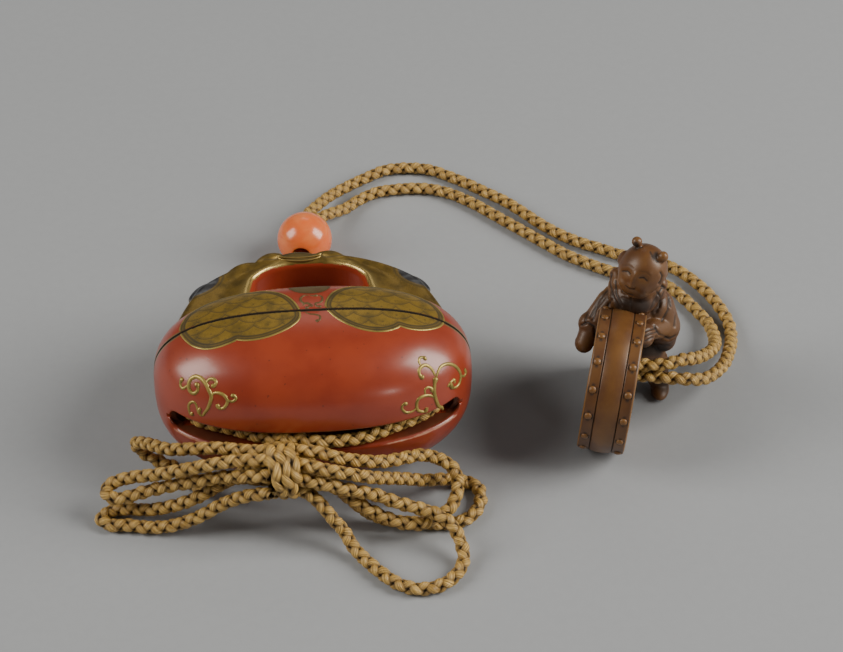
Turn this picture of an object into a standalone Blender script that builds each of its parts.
"""A lacquered case in the shape of a wooden temple gong, with its cord, bead and carved toggle.

The case lies on its back on a table. Metres, +Z up, +X along the case's width, +Y from its mouth
to its handle. The origin is on the table, under the middle of the case's box.
"""

import math

import bmesh
import bpy
from mathutils import Euler, Matrix, Vector

MM = 0.001

# The case's outside
CASE_WIDTH = 61.6 * MM
FRONT_DEPTH = 16.6 * MM
BACK_DEPTH = 16.9 * MM
MID_HEIGHT = 16.5 * MM
SEAM_Y = -4.2 * MM
MOUTH_REACH = 18.8 * MM
SHOULDER_REACH = 14.2 * MM
PLAN_POWER = 2.4
SECTION_POWER = 2.7
SEAM_GAP = 0.3 * MM
CASE_SEGMENTS = 40
CASE_RINGS = 20

# The hollow, and the flange that the upper section slides over
CAVITY_HALF_WIDTH = 19.8 * MM
CASE_WALL = 2.6 * MM
FLOOR_WALL = 2.4 * MM
CROWN_WALL = 2.4 * MM
FLANGE_THICKNESS = 1.1 * MM
FLANGE_HEIGHT = 2.6 * MM
FLANGE_CLEARANCE = 0.3 * MM

# The mouth slot and the cord's tunnels
SLOT_HEIGHT = 4.4 * MM
SLOT_DEPTH = 9.5 * MM
TUNNEL_X = 24.0 * MM
TUNNEL_RADIUS = 1.75 * MM
TUNNEL_MOUTH_RADIUS = 2.8 * MM
TUNNEL_MOUTH_DEPTH = 4.0 * MM

# The handle: two heads that hold a jewel between their lips
HANDLE_HALF_SPAN = 27.4 * MM
HANDLE_BASE_Y = 2.0 * MM
HANDLE_FOOT_Y = -2.5 * MM
HANDLE_RISE = 20.6 * MM
HANDLE_POWER = 1.8
HANDLE_LOW = 9.2 * MM
HANDLE_HIGH = 25.4 * MM
HANDLE_ROUNDING = 1.6 * MM
GRIP_HALF_SPAN = 12.3 * MM
GRIP_BASE_Y = 8.0 * MM
GRIP_RISE = 11.0 * MM
GRIP_POWER = 2.4
JEWEL_HALF_SIZE = (5.2 * MM, 1.9 * MM, 8.6 * MM)
JEWEL_Y = 21.0 * MM
LIP_HALF_SIZE = (3.4 * MM, 1.5 * MM, 7.0 * MM)
LIP_X = 7.4 * MM
LIP_Y = 20.6 * MM
LIP_TURN = 18.0
EYE_HALF_SIZE = (4.6 * MM, 1.8 * MM, 2.6 * MM)
EYE_X = 20.6 * MM
EYE_Y = 13.4 * MM
EYE_TURN = 40.0

# The cord and its bead
CORD_DIAMETER = 2.5 * MM
CORD_STEP = 5.0 * MM
CURVE_SAMPLES = 16
BEAD_RADIUS = 5.9 * MM
BEAD_BORE_RADIUS = 1.9 * MM
BEAD_PLACE = (-0.5 * MM, 49.8 * MM, 5.9 * MM)
BEAD_TURN = -9.0

# The knot of the bow: the cord wound round the bundle of loops
KNOT_PLACE = (-6.5 * MM, -28.5 * MM, 15.0 * MM)
KNOT_RADIUS = 5.0 * MM
KNOT_WIDTH = 5.0 * MM
KNOT_WINDINGS = 3
KNOT_GROOVE = 0.6 * MM
KNOT_GROOVE_SHARE = 0.04
KNOT_CREST_SHARES = (0.3, 0.7)

# The toggle: a boy who leans over a drum that stands on its rim
TOGGLE_PLACE = (57.1 * MM, -7.5 * MM, 0.0)
TOGGLE_TURN = -14.0
TOGGLE_LEAN = 4.0
DRUM_RADIUS = 13.9 * MM
DRUM_BULGE = 0.35 * MM
DRUM_WIDTH = 9.2 * MM
DRUM_BAND = 2.4 * MM
DRUM_LINE_DEPTH = 0.3 * MM
DRUM_FOOT_FLAT = 0.12 * MM
DRUM_SIDES = 32
STUD_COUNT = 16
STUD_RADIUS = 0.65 * MM
STUD_HEIGHT = 0.45 * MM
CORD_HOLE_RADIUS = 3.1 * MM
CORD_HOLE_DEPTH = 3.4 * MM
CORD_HOLE_BACK = 4.1 * MM
BOY_TURN = 4.5
BOY_VOXEL = 0.62 * MM
BOY_FACE_SHARE = 0.15

MERGE_DISTANCE = 0.00001
CUT_MARGIN = 30.0 * MM
OVERRUN = 1.0 * MM
TUNNEL_STEP = 0.05 * MM

LACQUER_RED = (0.36, 0.045, 0.022, 1.0)
CORAL = (0.80, 0.20, 0.07, 1.0)
BOXWOOD = (0.20, 0.075, 0.025, 1.0)
SILK = (0.36, 0.21, 0.08, 1.0)

# Routes of the cord, in millimetres, in the order in which the cord runs
SIDE_LEFT = [
    (-6.8, -21.6, 16.5), (-10, -20.8, 16.4), (-13.5, -19.2, 16.3), (-17, -17.6, 16.3),
    (-20.2, -16.4, 16.4), (-22.8, -15, 16.5), (-23.9, -12.2, 16.5), (-24, -8, 16.5), (-24, -4, 16.5),
    (-24, 4, 16.5), (-24, 11, 16.5), (-23.6, 15.5, 15.6), (-21.5, 21, 13), (-17, 28, 10),
    (-11, 35, 7.6), (-5.5, 40.2, 6.2), (-2.7, 43.5, 5.9),
]
SIDE_RIGHT = [
    (-6.2, -21.4, 16.5), (-3.4, -21.6, 16.5), (-0.8, -22.4, 16.4), (3, -22.6, 16.2), (9, -21.7, 16),
    (15, -19.2, 16.1), (19.5, -17.2, 16.3), (22.5, -15.1, 16.5), (23.8, -12.2, 16.5), (24, -8, 16.5),
    (24, -4, 16.5), (24, 4, 16.5), (24, 11, 16.5), (23.6, 15.5, 15.6), (21, 21.5, 13), (15.5, 29, 10),
    (8.5, 35.8, 7.6), (2.8, 40.4, 6.2), (0, 43.1, 5.9),
]
STRAND_OUTER = [
    (-0.9, 56.4, 5.9), (1, 60.6, 4.7), (5.5, 68.5, 2.5), (9.5, 73, 1.4), (14, 76, 1.4), (18.5, 78.5, 1.4),
    (23.5, 79, 1.4), (28.5, 78, 1.4), (32.5, 75.5, 1.4), (36.5, 72.5, 1.4), (40.5, 69, 1.4),
    (44.5, 65.5, 1.4), (48, 61.5, 1.4), (51.6, 57, 1.4), (55.5, 53, 1.4), (60, 49.6, 1.4),
    (64, 47.4, 1.4), (67.5, 45.2, 1.4), (72, 43.5, 1.4), (76.5, 41.5, 1.4), (80, 38.5, 1.4),
    (83.5, 33.5, 1.4), (86, 28, 1.4), (87.5, 21.5, 1.4), (87, 16, 2), (85.5, 10.5, 4), (82.5, 3, 6.5),
    (77.5, -3.5, 9.5), (73.5, -5.6, 11.6), (69.5, -5.6, 12.2), (64.8, -4.8, 12.4), (60.4, -4.1, 12.6),
]
STRAND_INNER = [
    (2.1, 55.9, 5.9), (4.2, 58.8, 4.9), (9, 64.6, 2), (11.5, 67.6, 1.4), (16, 70.5, 1.4),
    (19.5, 71.2, 1.4), (24, 71.5, 1.4), (28, 71, 1.4), (32.5, 69, 1.4), (37, 65.5, 1.4),
    (41, 61.5, 1.4), (44.5, 57.8, 1.4), (48, 54.2, 1.4), (52, 50, 1.4), (56, 46, 1.4), (60, 43, 1.4),
    (64.5, 40, 1.4), (71, 37, 1.4), (76.5, 34, 1.4), (79.5, 29.5, 1.4), (81.5, 25.5, 1.4), (83, 21, 2),
    (83, 14, 4), (81, 7, 7.5), (76.5, 0.5, 11.5), (72.5, -2.8, 14.2), (68.8, -4.8, 15.1),
    (64.8, -4.8, 15.2), (60.4, -4.1, 15.4),
]
LEFT_UPPER = [
    (-9.7, -26.1, 18), (-13, -25.6, 17.8), (-18, -23.7, 16.9), (-23, -22.2, 15.6), (-28.1, -19.6, 13.2),
    (-32.4, -14.6, 10), (-34.9, -11.4, 7), (-34, -10.9, 4.2), (-31.1, -11.6, 2.2), (-28.1, -12.9, 1.5),
    (-24.5, -17.8, 1.6), (-21, -21.2, 3.6), (-17, -22.6, 7), (-14, -23.9, 10.6), (-11.7, -24.8, 12.9),
    (-9.7, -25.2, 13.7),
]
LEFT_MIDDLE = [
    (-9.7, -29.1, 18.6), (-15, -28.3, 18), (-20.9, -27.7, 16.5), (-25.5, -26.6, 14.5), (-30.6, -25, 12),
    (-35.7, -23, 9.5), (-39.1, -22.5, 7.7), (-40.4, -23.6, 6.8), (-39.2, -25, 6.4), (-36.9, -25.4, 6.6),
    (-33.4, -25.2, 7.6), (-29.9, -25.4, 8.8), (-26.2, -26.4, 10.6), (-22.1, -27.5, 12.4),
    (-18.1, -28.3, 13.9), (-13.6, -30.2, 15.6), (-9.7, -31.2, 16.5),
]
LEFT_LOWER = [
    (-9.7, -29.6, 13.9), (-11, -29.3, 13.8), (-14.8, -27.3, 12.4), (-18.4, -26.9, 10.6),
    (-21.4, -27.6, 9), (-25, -27.6, 7), (-28.6, -26.8, 5), (-32.7, -25.6, 3.2), (-36.8, -24, 2),
    (-40, -23.9, 1.5), (-41.6, -25.6, 1.4), (-40, -27.3, 1.4), (-36.5, -27.6, 1.4), (-32.8, -28.5, 1.5),
    (-28.8, -29.1, 2.1), (-24.9, -29.4, 3.6), (-21.9, -29.6, 5.4), (-18.6, -29.7, 7.8),
    (-15.6, -30.4, 10), (-12.4, -31.8, 12.3), (-9.7, -32.5, 13.2),
]
RIGHT_UPPER = [
    (-3.3, -26.6, 18.2), (0.4, -27.2, 18), (3.8, -28.2, 17.4), (8.8, -28, 15.9), (12.8, -26.6, 14.2),
    (16.4, -24.6, 12.8), (20, -22.7, 11.4), (23.5, -22.4, 9.6), (25.9, -23.6, 8), (26.5, -25.8, 6.4),
    (25.9, -28.4, 5.4), (24.4, -30.8, 4.6), (22, -32.3, 4.3), (19.4, -33.6, 4.1), (15.7, -33.5, 4.3),
    (11.8, -32.6, 5.6), (9, -32, 7.2), (6.6, -31.2, 8.7), (4.2, -30.3, 10.6), (0.8, -29.1, 12.6),
    (-3.3, -28.4, 14),
]
RIGHT_MIDDLE = [
    (-3.3, -29.5, 17.6), (0.4, -30.6, 17.2), (3.9, -31.2, 16.6), (9, -30.6, 14.4), (12.7, -27.9, 11),
    (16.3, -25.4, 8), (20.4, -23.2, 5), (24.7, -20.9, 2.6), (28.2, -20.6, 1.5), (30.6, -22.3, 1.4),
    (31, -25.5, 1.4), (29.5, -29, 1.4), (26.8, -31, 1.4), (23.4, -31.4, 1.4), (19.6, -30.9, 1.4),
    (15.5, -30.4, 1.4), (12, -29.8, 1.9), (9.2, -29.2, 3.2), (6.6, -28.6, 5.6), (4, -27.9, 8.4),
    (0.8, -26.4, 12), (-3.3, -25.3, 15.2),
]
RIGHT_LOWER = [
    (-3.3, -31.4, 12.3), (-1.9, -31.8, 11.9), (0.7, -33.3, 9.6), (2.4, -34.2, 7.2), (4.4, -34.9, 4.4),
    (5.8, -36.8, 2.4), (8, -39.4, 1.4), (10.7, -42.8, 1.4), (13.9, -45.9, 1.4), (17.6, -47.4, 1.4),
    (21.6, -46.8, 1.4), (24.7, -44.4, 1.4), (26.4, -41, 1.8), (26, -38.3, 3.6), (24.5, -35.8, 5.8),
    (21.7, -34, 7), (18.3, -32.6, 7.4), (14.5, -31.9, 8.4), (10.7, -31.4, 10.2), (6.8, -32, 12.2),
    (3.8, -32.2, 13.6), (0.4, -31.9, 14.4), (-3.3, -31.3, 15.3),
]
CORD_ROUTES = {
    "cord_side_left": SIDE_LEFT,
    "cord_side_right": SIDE_RIGHT,
    "cord_strand_outer": STRAND_OUTER,
    "cord_strand_inner": STRAND_INNER,
    "bow_loop_left_upper": LEFT_UPPER,
    "bow_loop_left_middle": LEFT_MIDDLE,
    "bow_loop_left_lower": LEFT_LOWER,
    "bow_loop_right_upper": RIGHT_UPPER,
    "bow_loop_right_middle": RIGHT_MIDDLE,
    "bow_loop_right_lower": RIGHT_LOWER,
}

# The boy, as rounded masses in the toggle's frame, in millimetres: centre, half sizes, turn in degrees
BOY_MASSES = {
    "chest": ((2.6, 13.2, 19.4), (6.6, 5.8, 8.4), (14, 0, 0)),
    "hips": ((3.4, 14.6, 10.4), (7.6, 6.4, 8.0), (0, 0, 0)),
    "shoulder_left": ((-1.0, 12.2, 24.0), (3.0, 3.6, 3.4), (0, 0, 0)),
    "shoulder_right": ((6.8, 12.8, 23.8), (3.4, 3.9, 3.6), (0, 0, 0)),
    "fist": ((-6.0, 7.2, 16.6), (1.9, 2.1, 2.0), (0, 0, 0)),
    "hand": ((5.2, 4.4, 22.9), (2.0, 2.5, 1.6), (20, 25, 0)),
    "head": ((2.8, 7.8, 36.7), (4.6, 4.9, 5.2), (12, 22, 0)),
    "jaw": ((1.6, 6.0, 34.9), (3.5, 3.2, 2.6), (12, 22, 0)),
    "nose": ((0.9, 3.1, 35.9), (0.8, 0.9, 1.0), (12, 22, 0)),
    "ear_left": ((-1.3, 9.6, 37.6), (0.7, 1.2, 1.6), (0, 22, 0)),
    "ear_right": ((6.9, 8.6, 35.0), (0.7, 1.2, 1.6), (0, 22, 0)),
    "tuft_left": ((1.0, 9.2, 41.6), (1.0, 1.0, 1.0), (0, 0, 0)),
    "tuft_right": ((5.8, 6.6, 41.2), (1.0, 1.0, 1.1), (0, 0, 0)),
    "foot_left": ((-1.6, 15.6, 1.4), (1.9, 3.4, 1.4), (0, 0, 0)),
    "foot_right": ((11.0, 12.4, 1.8), (1.9, 3.4, 1.4), (0, 0, 0)),
}
# The boy's limbs and folds: start, end, radius at the start, radius at the end
BOY_LIMBS = {
    "neck": ((3.0, 10.8, 28.4), (3.0, 8.8, 33.4), 3.1, 2.8),
    "collar_left": ((-1.6, 12.2, 30.0), (0.8, 7.6, 28.2), 1.4, 1.0),
    "collar_right": ((6.6, 12.4, 29.2), (3.2, 7.6, 28.0), 1.5, 1.0),
    "sleeve_left": ((-1.8, 11.6, 23.8), (-4.6, 9.6, 19.6), 3.0, 2.6),
    "forearm_left": ((-4.6, 9.6, 19.6), (-5.8, 7.4, 17.2), 2.5, 1.9),
    "sleeve_right": ((7.4, 12.8, 23.6), (9.0, 12.0, 19.0), 3.3, 3.6),
    "sleeve_bell": ((9.0, 12.2, 19.0), (9.8, 13.2, 14.6), 3.6, 2.6),
    "forearm_right": ((8.8, 11.4, 20.0), (6.2, 6.6, 22.4), 2.8, 1.9),
    "leg_left": ((-1.2, 16.5, 7.0), (-1.6, 16.6, 2.2), 3.4, 2.0),
    "leg_right": ((8.6, 14.4, 7.0), (10.8, 13.4, 2.8), 3.4, 2.0),
    "hem": ((-3.2, 13.8, 7.2), (9.4, 13.0, 7.6), 2.5, 2.5),
}


def clear_scene():
    """Remove every object of the scene."""
    for item in list(bpy.data.objects):
        bpy.data.objects.remove(item, do_unlink=True)


def make_collection(name):
    """Return a new collection that is linked to the scene."""
    collection = bpy.data.collections.new(name)
    bpy.context.scene.collection.children.link(collection)
    return collection


def move_to(item, collection):
    """Take an object out of its collections and put it in the one given."""
    for old in list(item.users_collection):
        old.objects.unlink(item)
    collection.objects.link(item)


def make_material(name, colour, roughness):
    """Return a Principled material."""
    material = bpy.data.materials.new(name)
    material.use_nodes = True
    shader = material.node_tree.nodes["Principled BSDF"]
    shader.inputs["Base Color"].default_value = colour
    shader.inputs["Roughness"].default_value = roughness
    shader.inputs["Metallic"].default_value = 0.0
    return material


def new_object(name, mesh, collection):
    """Return a new object that holds a bmesh, which is freed."""
    data = bpy.data.meshes.new(name)
    mesh.normal_update()
    mesh.to_mesh(data)
    mesh.free()
    item = bpy.data.objects.new(name, data)
    collection.objects.link(item)
    return item


def hide_cutter(item):
    """Show a cutter as wire and keep it out of renders."""
    item.hide_render = True
    item.display_type = "WIRE"
    return item


def boolean(item, cutter, operation):
    """Cut an object by a cutter, or join or cross it with one, and apply the result."""
    modifier = item.modifiers.new(operation.lower(), "BOOLEAN")
    modifier.operation = operation
    modifier.solver = "EXACT"
    modifier.object = cutter
    bpy.context.view_layer.update()
    evaluated = item.evaluated_get(bpy.context.evaluated_depsgraph_get())
    result = bpy.data.meshes.new_from_object(evaluated)
    item.modifiers.remove(modifier)
    item.data = result


def subtract(item, *cutters):
    """Cut an object by each cutter in turn."""
    for cutter in cutters:
        boolean(item, cutter, "DIFFERENCE")


def unite(item, *others):
    """Join other solids to an object, one after the other."""
    for other in others:
        boolean(item, other, "UNION")


def case_blob(mesh, half_width, mouth_reach, shoulder_reach, front, back):
    """Add the case's rounded form to a bmesh, its poles along Y and its widest ring at the seam."""
    made = bmesh.ops.create_uvsphere(mesh, u_segments=CASE_SEGMENTS, v_segments=CASE_RINGS, radius=1.0)
    for vertex in made["verts"]:
        x, y, z = vertex.co.x, vertex.co.z, -vertex.co.y
        plan = (abs(x) ** PLAN_POWER + abs(y) ** PLAN_POWER) ** (SECTION_POWER / PLAN_POWER)
        scale = (plan + abs(z) ** SECTION_POWER) ** (-1.0 / SECTION_POWER)
        reach = mouth_reach if y < 0.0 else shoulder_reach
        depth = front if z > 0.0 else back
        vertex.co = Vector((half_width * x, reach * y, depth * z)) * scale
        vertex.co += Vector((0.0, SEAM_Y, MID_HEIGHT))
    return made["verts"]


def keep_side(mesh, y, side):
    """Cut a bmesh at the plane across Y, keep one side of it and return the cut's open edges."""
    cut = bmesh.ops.bisect_plane(
        mesh, geom=mesh.verts[:] + mesh.edges[:] + mesh.faces[:], dist=MERGE_DISTANCE,
        plane_co=(0.0, y, 0.0), plane_no=(0.0, -side, 0.0), clear_outer=True,
    )
    return [part for part in cut["geom_cut"] if isinstance(part, bmesh.types.BMEdge)]


def cavity(name, reach, side, collar_end, collection):
    """Return the cutter of one section's hollow: half the rounded form and a straight collar."""
    mesh = bmesh.new()
    case_blob(mesh, CAVITY_HALF_WIDTH, reach, reach, FRONT_DEPTH - CASE_WALL, BACK_DEPTH - CASE_WALL)
    rim = keep_side(mesh, SEAM_Y, side)
    grown = bmesh.ops.extrude_edge_only(mesh, edges=rim)
    moved = [part for part in grown["geom"] if isinstance(part, bmesh.types.BMVert)]
    for vertex in moved:
        vertex.co.y = collar_end
    bmesh.ops.holes_fill(mesh, edges=mesh.edges[:], sides=0)
    bmesh.ops.recalc_face_normals(mesh, faces=mesh.faces[:])
    return hide_cutter(new_object(name, mesh, collection))


def seam_prism(name, grow, start, end, collection):
    """Return a straight bar along Y with the hollow's outline at the seam, grown outwards."""
    mesh = bmesh.new()
    made = bmesh.ops.create_cone(
        mesh, cap_ends=True, segments=CASE_SEGMENTS, radius1=1.0, radius2=1.0, depth=end - start,
    )
    half_width = CAVITY_HALF_WIDTH + grow
    for vertex in made["verts"]:
        x, z = vertex.co.x, -vertex.co.y
        scale = (abs(x) ** SECTION_POWER + abs(z) ** SECTION_POWER) ** (-1.0 / SECTION_POWER)
        depth = (FRONT_DEPTH if z > 0.0 else BACK_DEPTH) - CASE_WALL + grow
        middle = (start + end) / 2.0
        height = depth * z * scale + MID_HEIGHT
        vertex.co = Vector((half_width * x * scale, vertex.co.z + middle, height))
    return hide_cutter(new_object(name, mesh, collection))


def block(name, low, high, collection):
    """Return a box cutter between two corners."""
    mesh = bmesh.new()
    size = Vector(high) - Vector(low)
    middle = (Vector(high) + Vector(low)) / 2.0
    place = Matrix.Translation(middle) @ Matrix.Diagonal((*size, 1.0))
    bmesh.ops.create_cube(mesh, size=1.0, matrix=place)
    return hide_cutter(new_object(name, mesh, collection))


def table(collection):
    """Return the cutter that flattens what would reach below the table."""
    reach = 2.0 * CUT_MARGIN
    return block("table", (-reach, -reach, -reach), (reach, reach, 0.0), collection)


def rod(name, start, end, radius, sides, collection, end_radius=None):
    """Return a round bar between two points, or a tapered one."""
    mesh = bmesh.new()
    along = Vector(end) - Vector(start)
    middle = (Vector(end) + Vector(start)) / 2.0
    turn = along.to_track_quat("Z", "Y").to_matrix().to_4x4()
    bmesh.ops.create_cone(
        mesh, cap_ends=True, segments=sides, radius1=radius, radius2=end_radius or radius,
        depth=along.length, matrix=Matrix.Translation(middle) @ turn,
    )
    return hide_cutter(new_object(name, mesh, collection))


def add_ball(mesh, centre, half_size, turn=(0.0, 0.0, 0.0), segments=16):
    """Add an ellipsoid to a bmesh, turned by three angles in degrees."""
    angles = Euler([math.radians(angle) for angle in turn])
    turned = angles.to_matrix().to_4x4() @ Matrix.Diagonal((*half_size, 1.0))
    bmesh.ops.create_uvsphere(
        mesh, u_segments=segments, v_segments=segments // 2, radius=1.0,
        matrix=Matrix.Translation(Vector(centre)) @ turned,
    )


def ball(name, centre, half_size, turn, segments, collection):
    """Return an ellipsoid as an object of its own."""
    mesh = bmesh.new()
    add_ball(mesh, centre, half_size, turn, segments)
    return hide_cutter(new_object(name, mesh, collection))


def arch_points(half_span, base, rise, power, count, foot=None):
    """Return the outline of an arch: a rounded top over a straight foot."""
    points = []
    for step in range(count + 1):
        angle = math.pi * step / count
        across, up = math.cos(angle), math.sin(angle)
        x = math.copysign(abs(across) ** (2.0 / power), across) * half_span
        points.append((x, base + rise * up ** (2.0 / power)))
    if foot is not None:
        points += [(-half_span, foot), (half_span, foot)]
    return points


def handle_arch(collection):
    """Return the plain arch of the handle, with its grip, as a solid with rounded edges."""
    curve = bpy.data.curves.new("handle_arch", "CURVE")
    curve.dimensions = "2D"
    curve.fill_mode = "BOTH"
    curve.extrude = (HANDLE_HIGH - HANDLE_LOW) / 2.0 - HANDLE_ROUNDING
    curve.bevel_depth = HANDLE_ROUNDING
    curve.bevel_resolution = 1
    curve.offset = -HANDLE_ROUNDING
    outer = arch_points(HANDLE_HALF_SPAN, HANDLE_BASE_Y, HANDLE_RISE, HANDLE_POWER, 30, HANDLE_FOOT_Y)
    grip = arch_points(GRIP_HALF_SPAN, GRIP_BASE_Y, GRIP_RISE, GRIP_POWER, 20)
    for points in (outer, grip):
        spline = curve.splines.new("POLY")
        spline.points.add(len(points) - 1)
        for point, (x, y) in zip(spline.points, points):
            point.co = (x, y, 0.0, 1.0)
        spline.use_cyclic_u = True
    arch = bpy.data.objects.new("handle_arch", curve)
    collection.objects.link(arch)
    arch.location.z = (HANDLE_LOW + HANDLE_HIGH) / 2.0
    return mesh_of_curve(arch, collection)


def mesh_of_curve(curve_object, collection):
    """Turn a curve object into a mesh object with welded caps, and remove the curve."""
    bpy.context.view_layer.update()
    evaluated = curve_object.evaluated_get(bpy.context.evaluated_depsgraph_get())
    data = bpy.data.meshes.new_from_object(evaluated)
    mesh = bmesh.new()
    mesh.from_mesh(data)
    bmesh.ops.remove_doubles(mesh, verts=mesh.verts[:], dist=MERGE_DISTANCE)
    bmesh.ops.recalc_face_normals(mesh, faces=mesh.faces[:])
    name = curve_object.name
    place = curve_object.matrix_world.copy()
    bpy.data.objects.remove(curve_object, do_unlink=True)
    item = new_object(name, mesh, collection)
    item.matrix_world = place
    return hide_cutter(item)


def turned(name, profile, sides, collection):
    """Return a solid turned about X from a profile of (radius, place along X) points, axis to axis."""
    data = bpy.data.meshes.new(name + "_profile")
    points = [(radius, 0.0, along) for radius, along in profile]
    data.from_pydata(points, [(index, index + 1) for index in range(len(points) - 1)], [])
    item = bpy.data.objects.new(name, data)
    collection.objects.link(item)
    screw = item.modifiers.new("turn", "SCREW")
    screw.angle = math.tau
    screw.steps = sides
    screw.render_steps = sides
    screw.use_merge_vertices = True
    screw.merge_threshold = MERGE_DISTANCE
    bpy.context.view_layer.update()
    result = bpy.data.meshes.new_from_object(item.evaluated_get(bpy.context.evaluated_depsgraph_get()))
    mesh = bmesh.new()
    mesh.from_mesh(result)
    bmesh.ops.transform(mesh, matrix=Matrix.Rotation(math.radians(90.0), 4, "Y"), verts=mesh.verts[:])
    bmesh.ops.recalc_face_normals(mesh, faces=mesh.faces[:])
    bpy.data.objects.remove(item, do_unlink=True)
    return hide_cutter(new_object(name, mesh, collection))


def dress(item, material, collection, sharp_angle=35.0):
    """Make a finished solid one of the object's parts."""
    move_to(item, collection)
    item.hide_render = False
    item.display_type = "TEXTURED"
    item.data.materials.clear()
    item.data.materials.append(material)
    item.data.shade_smooth()
    item.data.set_sharp_from_angle(angle=math.radians(sharp_angle))
    return item


def tunnels(collection):
    """Return the cutters of the two tunnels that the cord runs through, and of their wider mouths."""
    floor = SEAM_Y - MOUTH_REACH + SLOT_DEPTH
    cutters = []
    for side, word in ((-1.0, "left"), (1.0, "right")):
        x = side * TUNNEL_X
        low = (x, floor - OVERRUN, MID_HEIGHT)
        deep = (x, floor + TUNNEL_MOUTH_DEPTH, MID_HEIGHT)
        high = (x, SEAM_Y + CUT_MARGIN, MID_HEIGHT)
        cutters.append(rod("tunnel_" + word, low, high, TUNNEL_RADIUS, 16, collection))
        inner_radius = TUNNEL_RADIUS - TUNNEL_STEP
        cutters.append(
            rod("tunnel_mouth_" + word, low, deep, TUNNEL_MOUTH_RADIUS, 16, collection, inner_radius)
        )
    return cutters


def lower_case(cutters):
    """Return the case's lower section: the gong's mouth, a hollow and the flange round it."""
    face = SEAM_Y - SEAM_GAP / 2.0
    flange_top = face + FLANGE_HEIGHT
    slot_floor = SEAM_Y - MOUTH_REACH + SLOT_DEPTH
    mesh = bmesh.new()
    case_blob(mesh, CASE_WIDTH / 2.0, MOUTH_REACH, SHOULDER_REACH, FRONT_DEPTH, BACK_DEPTH)
    keep_side(mesh, face, -1.0)
    bmesh.ops.holes_fill(mesh, edges=mesh.edges[:], sides=0)
    bmesh.ops.recalc_face_normals(mesh, faces=mesh.faces[:])
    case = new_object("lower_case", mesh, cutters)
    unite(case, seam_prism("flange", FLANGE_THICKNESS, face - OVERRUN, flange_top, cutters))
    hollow_reach = SEAM_Y - slot_floor - FLOOR_WALL
    hollow = cavity("lower_hollow", hollow_reach, -1.0, flange_top + OVERRUN, cutters)
    half_width = CASE_WIDTH / 2.0 + OVERRUN
    slot = block(
        "mouth_slot", (-half_width, SEAM_Y - CUT_MARGIN, MID_HEIGHT - SLOT_HEIGHT / 2.0),
        (half_width, slot_floor, MID_HEIGHT + SLOT_HEIGHT / 2.0), cutters,
    )
    subtract(case, hollow, slot, *tunnels(cutters), table(cutters))
    return case


def upper_case(cutters):
    """Return the case's upper section: shoulders, handle and jewel in one, over a hollow."""
    face = SEAM_Y + SEAM_GAP / 2.0
    mesh = bmesh.new()
    case_blob(mesh, CASE_WIDTH / 2.0, MOUTH_REACH, SHOULDER_REACH, FRONT_DEPTH, BACK_DEPTH)
    keep_side(mesh, face, 1.0)
    bmesh.ops.holes_fill(mesh, edges=mesh.edges[:], sides=0)
    bmesh.ops.recalc_face_normals(mesh, faces=mesh.faces[:])
    case = new_object("upper_case", mesh, cutters)
    middle = (HANDLE_LOW + HANDLE_HIGH) / 2.0
    unite(case, handle_arch(cutters))
    unite(case, ball("jewel", (0.0, JEWEL_Y, middle), JEWEL_HALF_SIZE, (0.0, 0.0, 0.0), 20, cutters))
    for side, word in ((-1.0, "left"), (1.0, "right")):
        lip = (side * LIP_X, LIP_Y, middle)
        eye = (side * EYE_X, EYE_Y, HANDLE_HIGH - HANDLE_ROUNDING)
        unite(
            case,
            ball("lip_" + word, lip, LIP_HALF_SIZE, (0.0, 0.0, -side * LIP_TURN), 16, cutters),
            ball("eye_" + word, eye, EYE_HALF_SIZE, (0.0, 0.0, -side * EYE_TURN), 16, cutters),
        )
    hollow = cavity("upper_hollow", SHOULDER_REACH - CROWN_WALL, 1.0, face - OVERRUN, cutters)
    flange_top = SEAM_Y - SEAM_GAP / 2.0 + FLANGE_HEIGHT
    grow = FLANGE_THICKNESS + FLANGE_CLEARANCE
    recess = seam_prism("flange_recess", grow, face - OVERRUN, flange_top + FLANGE_CLEARANCE, cutters)
    subtract(case, hollow, recess, *tunnels(cutters), table(cutters))
    return case


def bead(cutters):
    """Return the bored bead, which lies on the table behind the handle."""
    item = ball("bead", (0.0, 0.0, 0.0), (BEAD_RADIUS,) * 3, (90.0, 0.0, 0.0), 20, cutters)
    reach = BEAD_RADIUS + OVERRUN
    bore = rod("bead_bore", (0.0, -reach, 0.0), (0.0, reach, 0.0), BEAD_BORE_RADIUS, 12, cutters)
    subtract(item, bore)
    item.location = BEAD_PLACE
    item.rotation_euler.z = math.radians(BEAD_TURN)
    return item


def knot(cutters):
    """Return the knot: a few windings side by side, as one turned solid."""
    pitch = KNOT_WIDTH / KNOT_WINDINGS
    profile = [(0.0, -KNOT_WIDTH / 2.0)]
    for winding in range(KNOT_WINDINGS):
        start = -KNOT_WIDTH / 2.0 + winding * pitch
        groove_end = start if winding == 0 else start + KNOT_GROOVE_SHARE * pitch
        profile.append((KNOT_RADIUS - KNOT_GROOVE, groove_end))
        for share in KNOT_CREST_SHARES:
            profile.append((KNOT_RADIUS, start + share * pitch))
    profile.append((KNOT_RADIUS - KNOT_GROOVE, KNOT_WIDTH / 2.0))
    profile.append((0.0, KNOT_WIDTH / 2.0))
    item = turned("knot", profile, 20, cutters)
    item.location = KNOT_PLACE
    return item


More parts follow.
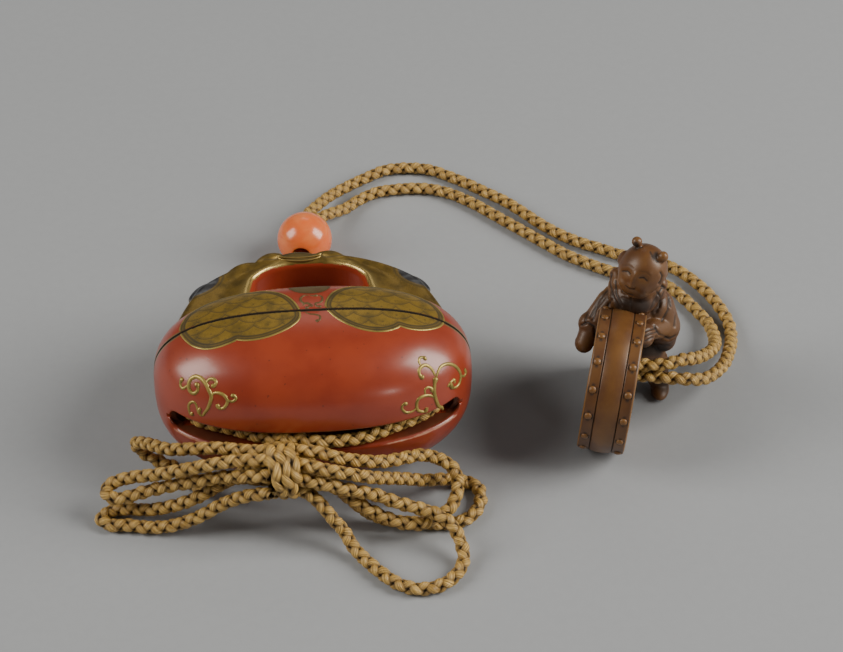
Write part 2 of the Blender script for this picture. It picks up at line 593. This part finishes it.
def drum(centre_height, cutters):
    """Return the drum on its rim, its axis along X, with rim bands and round studs."""
    half = DRUM_WIDTH / 2.0
    line = half - DRUM_BAND
    profile = [
        (0.0, -half), (DRUM_RADIUS - DRUM_LINE_DEPTH, -half), (DRUM_RADIUS, -half + DRUM_LINE_DEPTH),
        (DRUM_RADIUS, -line - DRUM_LINE_DEPTH), (DRUM_RADIUS - DRUM_LINE_DEPTH, -line),
        (DRUM_RADIUS, -line + DRUM_LINE_DEPTH), (DRUM_RADIUS + DRUM_BULGE, 0.0),
        (DRUM_RADIUS, line - DRUM_LINE_DEPTH), (DRUM_RADIUS - DRUM_LINE_DEPTH, line),
        (DRUM_RADIUS, line + DRUM_LINE_DEPTH), (DRUM_RADIUS, half - DRUM_LINE_DEPTH),
        (DRUM_RADIUS - DRUM_LINE_DEPTH, half), (0.0, half),
    ]
    item = turned("drum", profile, DRUM_SIDES, cutters)
    studs = bmesh.new()
    for side in (-1.0, 1.0):
        across = Matrix.Translation((side * (half - DRUM_BAND / 2.0), 0.0, 0.0))
        for number in range(STUD_COUNT):
            angle = (number + 0.5) * math.tau / STUD_COUNT
            spin = Matrix.Rotation(angle, 4, "X")
            lift = Matrix.Translation((0.0, 0.0, DRUM_RADIUS))
            bmesh.ops.create_cone(
                studs, cap_ends=True, segments=6, radius1=STUD_RADIUS, radius2=STUD_RADIUS / 2.0,
                depth=2.0 * STUD_HEIGHT, matrix=across @ spin @ lift,
            )
    unite(item, hide_cutter(new_object("studs", studs, cutters)))
    item.data.transform(Matrix.Translation((0.0, 0.0, centre_height)))
    return item


def boy(cutters):
    """Return the boy as one smooth solid, melted together from rounded masses and limbs."""
    mesh = bmesh.new()
    for centre, half_size, turn in BOY_MASSES.values():
        add_ball(mesh, Vector(centre) * MM, Vector(half_size) * MM, turn)
    for start, end, start_radius, end_radius in BOY_LIMBS.values():
        low, high = Vector(start) * MM, Vector(end) * MM
        along = high - low
        turn = along.to_track_quat("Z", "Y").to_matrix().to_4x4()
        bmesh.ops.create_cone(
            mesh, cap_ends=True, segments=16, radius1=start_radius * MM, radius2=end_radius * MM,
            depth=along.length, matrix=Matrix.Translation((low + high) / 2.0) @ turn,
        )
        add_ball(mesh, low, (start_radius * MM,) * 3)
        add_ball(mesh, high, (end_radius * MM,) * 3)
    item = hide_cutter(new_object("boy", mesh, cutters))
    melt = item.modifiers.new("melt", "REMESH")
    melt.mode = "VOXEL"
    melt.voxel_size = BOY_VOXEL
    soften = item.modifiers.new("soften", "SMOOTH")
    soften.iterations = 2
    thin = item.modifiers.new("thin", "DECIMATE")
    thin.ratio = BOY_FACE_SHARE
    bpy.context.view_layer.update()
    finished = item.evaluated_get(bpy.context.evaluated_depsgraph_get())
    item.data = bpy.data.meshes.new_from_object(finished)
    item.data.transform(Matrix.Rotation(math.radians(BOY_TURN), 4, "Z"))
    item.modifiers.clear()
    return item


def netsuke(cutters):
    """Return the toggle: the boy and the drum in one, with the cord's hole in the drum's right head."""
    centre_height = (DRUM_RADIUS + STUD_HEIGHT) * math.cos(math.pi / STUD_COUNT)
    item = drum(centre_height, cutters)
    item.name = "netsuke"
    unite(item, boy(cutters))
    half = DRUM_WIDTH / 2.0
    hole = rod(
        "cord_hole", (half - CORD_HOLE_DEPTH, CORD_HOLE_BACK, centre_height),
        (half + OVERRUN, CORD_HOLE_BACK, centre_height), CORD_HOLE_RADIUS, 20, cutters,
    )
    subtract(item, hole)
    item.data.transform(Matrix.Rotation(math.radians(TOGGLE_LEAN), 4, "Y"))
    lowest = min(vertex.co.z for vertex in item.data.vertices)
    item.data.transform(Matrix.Translation((0.0, 0.0, -lowest - DRUM_FOOT_FLAT)))
    subtract(item, table(cutters))
    item.location = TOGGLE_PLACE
    item.rotation_euler.z = math.radians(TOGGLE_TURN)
    return item


def smooth_curve(points, step):
    """Return points about a step apart on a smooth curve through the points given, in metres."""
    route = [Vector(point) * MM for point in points]
    route = [2.0 * route[0] - route[1]] + route + [2.0 * route[-1] - route[-2]]
    fine = []
    for first, start, end, last in zip(route, route[1:], route[2:], route[3:]):
        pairs = ((first, start), (start, end), (end, last))
        before, here, after = ((b - a).length ** 0.5 for a, b in pairs)
        leave = (start - first) / before - (end - first) / (before + here) + (end - start) / here
        arrive = (end - start) / here - (last - start) / (here + after) + (last - end) / after
        for number in range(CURVE_SAMPLES):
            share = number / CURVE_SAMPLES
            cube, square = share ** 3, share ** 2
            fine.append(
                (2.0 * cube - 3.0 * square + 1.0) * start + (cube - 2.0 * square + share) * leave * here
                + (3.0 * square - 2.0 * cube) * end + (cube - square) * arrive * here
            )
    fine.append(route[-2])
    lengths = [0.0]
    for low, high in zip(fine, fine[1:]):
        lengths.append(lengths[-1] + (high - low).length)
    count = max(2, round(lengths[-1] / step))
    result, index = [], 0
    for number in range(count + 1):
        wanted = lengths[-1] * number / count
        while index < len(lengths) - 2 and lengths[index + 1] < wanted:
            index += 1
        share = (wanted - lengths[index]) / (lengths[index + 1] - lengths[index])
        result.append(fine[index].lerp(fine[index + 1], share))
    return result


def cord(name, points, material, collection):
    """Add one run of the cord as a tube curve with closed ends."""
    curve = bpy.data.curves.new(name, "CURVE")
    curve.dimensions = "3D"
    curve.bevel_depth = CORD_DIAMETER / 2.0
    curve.bevel_resolution = 2
    curve.use_fill_caps = True
    route = smooth_curve(points, CORD_STEP)
    spline = curve.splines.new("POLY")
    spline.points.add(len(route) - 1)
    for point, place in zip(spline.points, route):
        point.co = (*place, 1.0)
    curve.materials.append(material)
    item = bpy.data.objects.new(name, curve)
    collection.objects.link(item)
    return item


def main():
    """Build every part of the object."""
    clear_scene()
    parts = make_collection("lacquered_gong_case")
    cutters = make_collection("cutters")
    lacquer = make_material("red_lacquer", LACQUER_RED, 0.25)
    silk = make_material("gold_brown_silk", SILK, 0.75)
    dress(lower_case(cutters), lacquer, parts)
    dress(upper_case(cutters), lacquer, parts)
    dress(bead(cutters), make_material("coral", CORAL, 0.2), parts)
    dress(netsuke(cutters), make_material("stained_boxwood", BOXWOOD, 0.35), parts)
    dress(knot(cutters), silk, parts)
    for name, points in CORD_ROUTES.items():
        cord(name, points, silk, parts)


main()
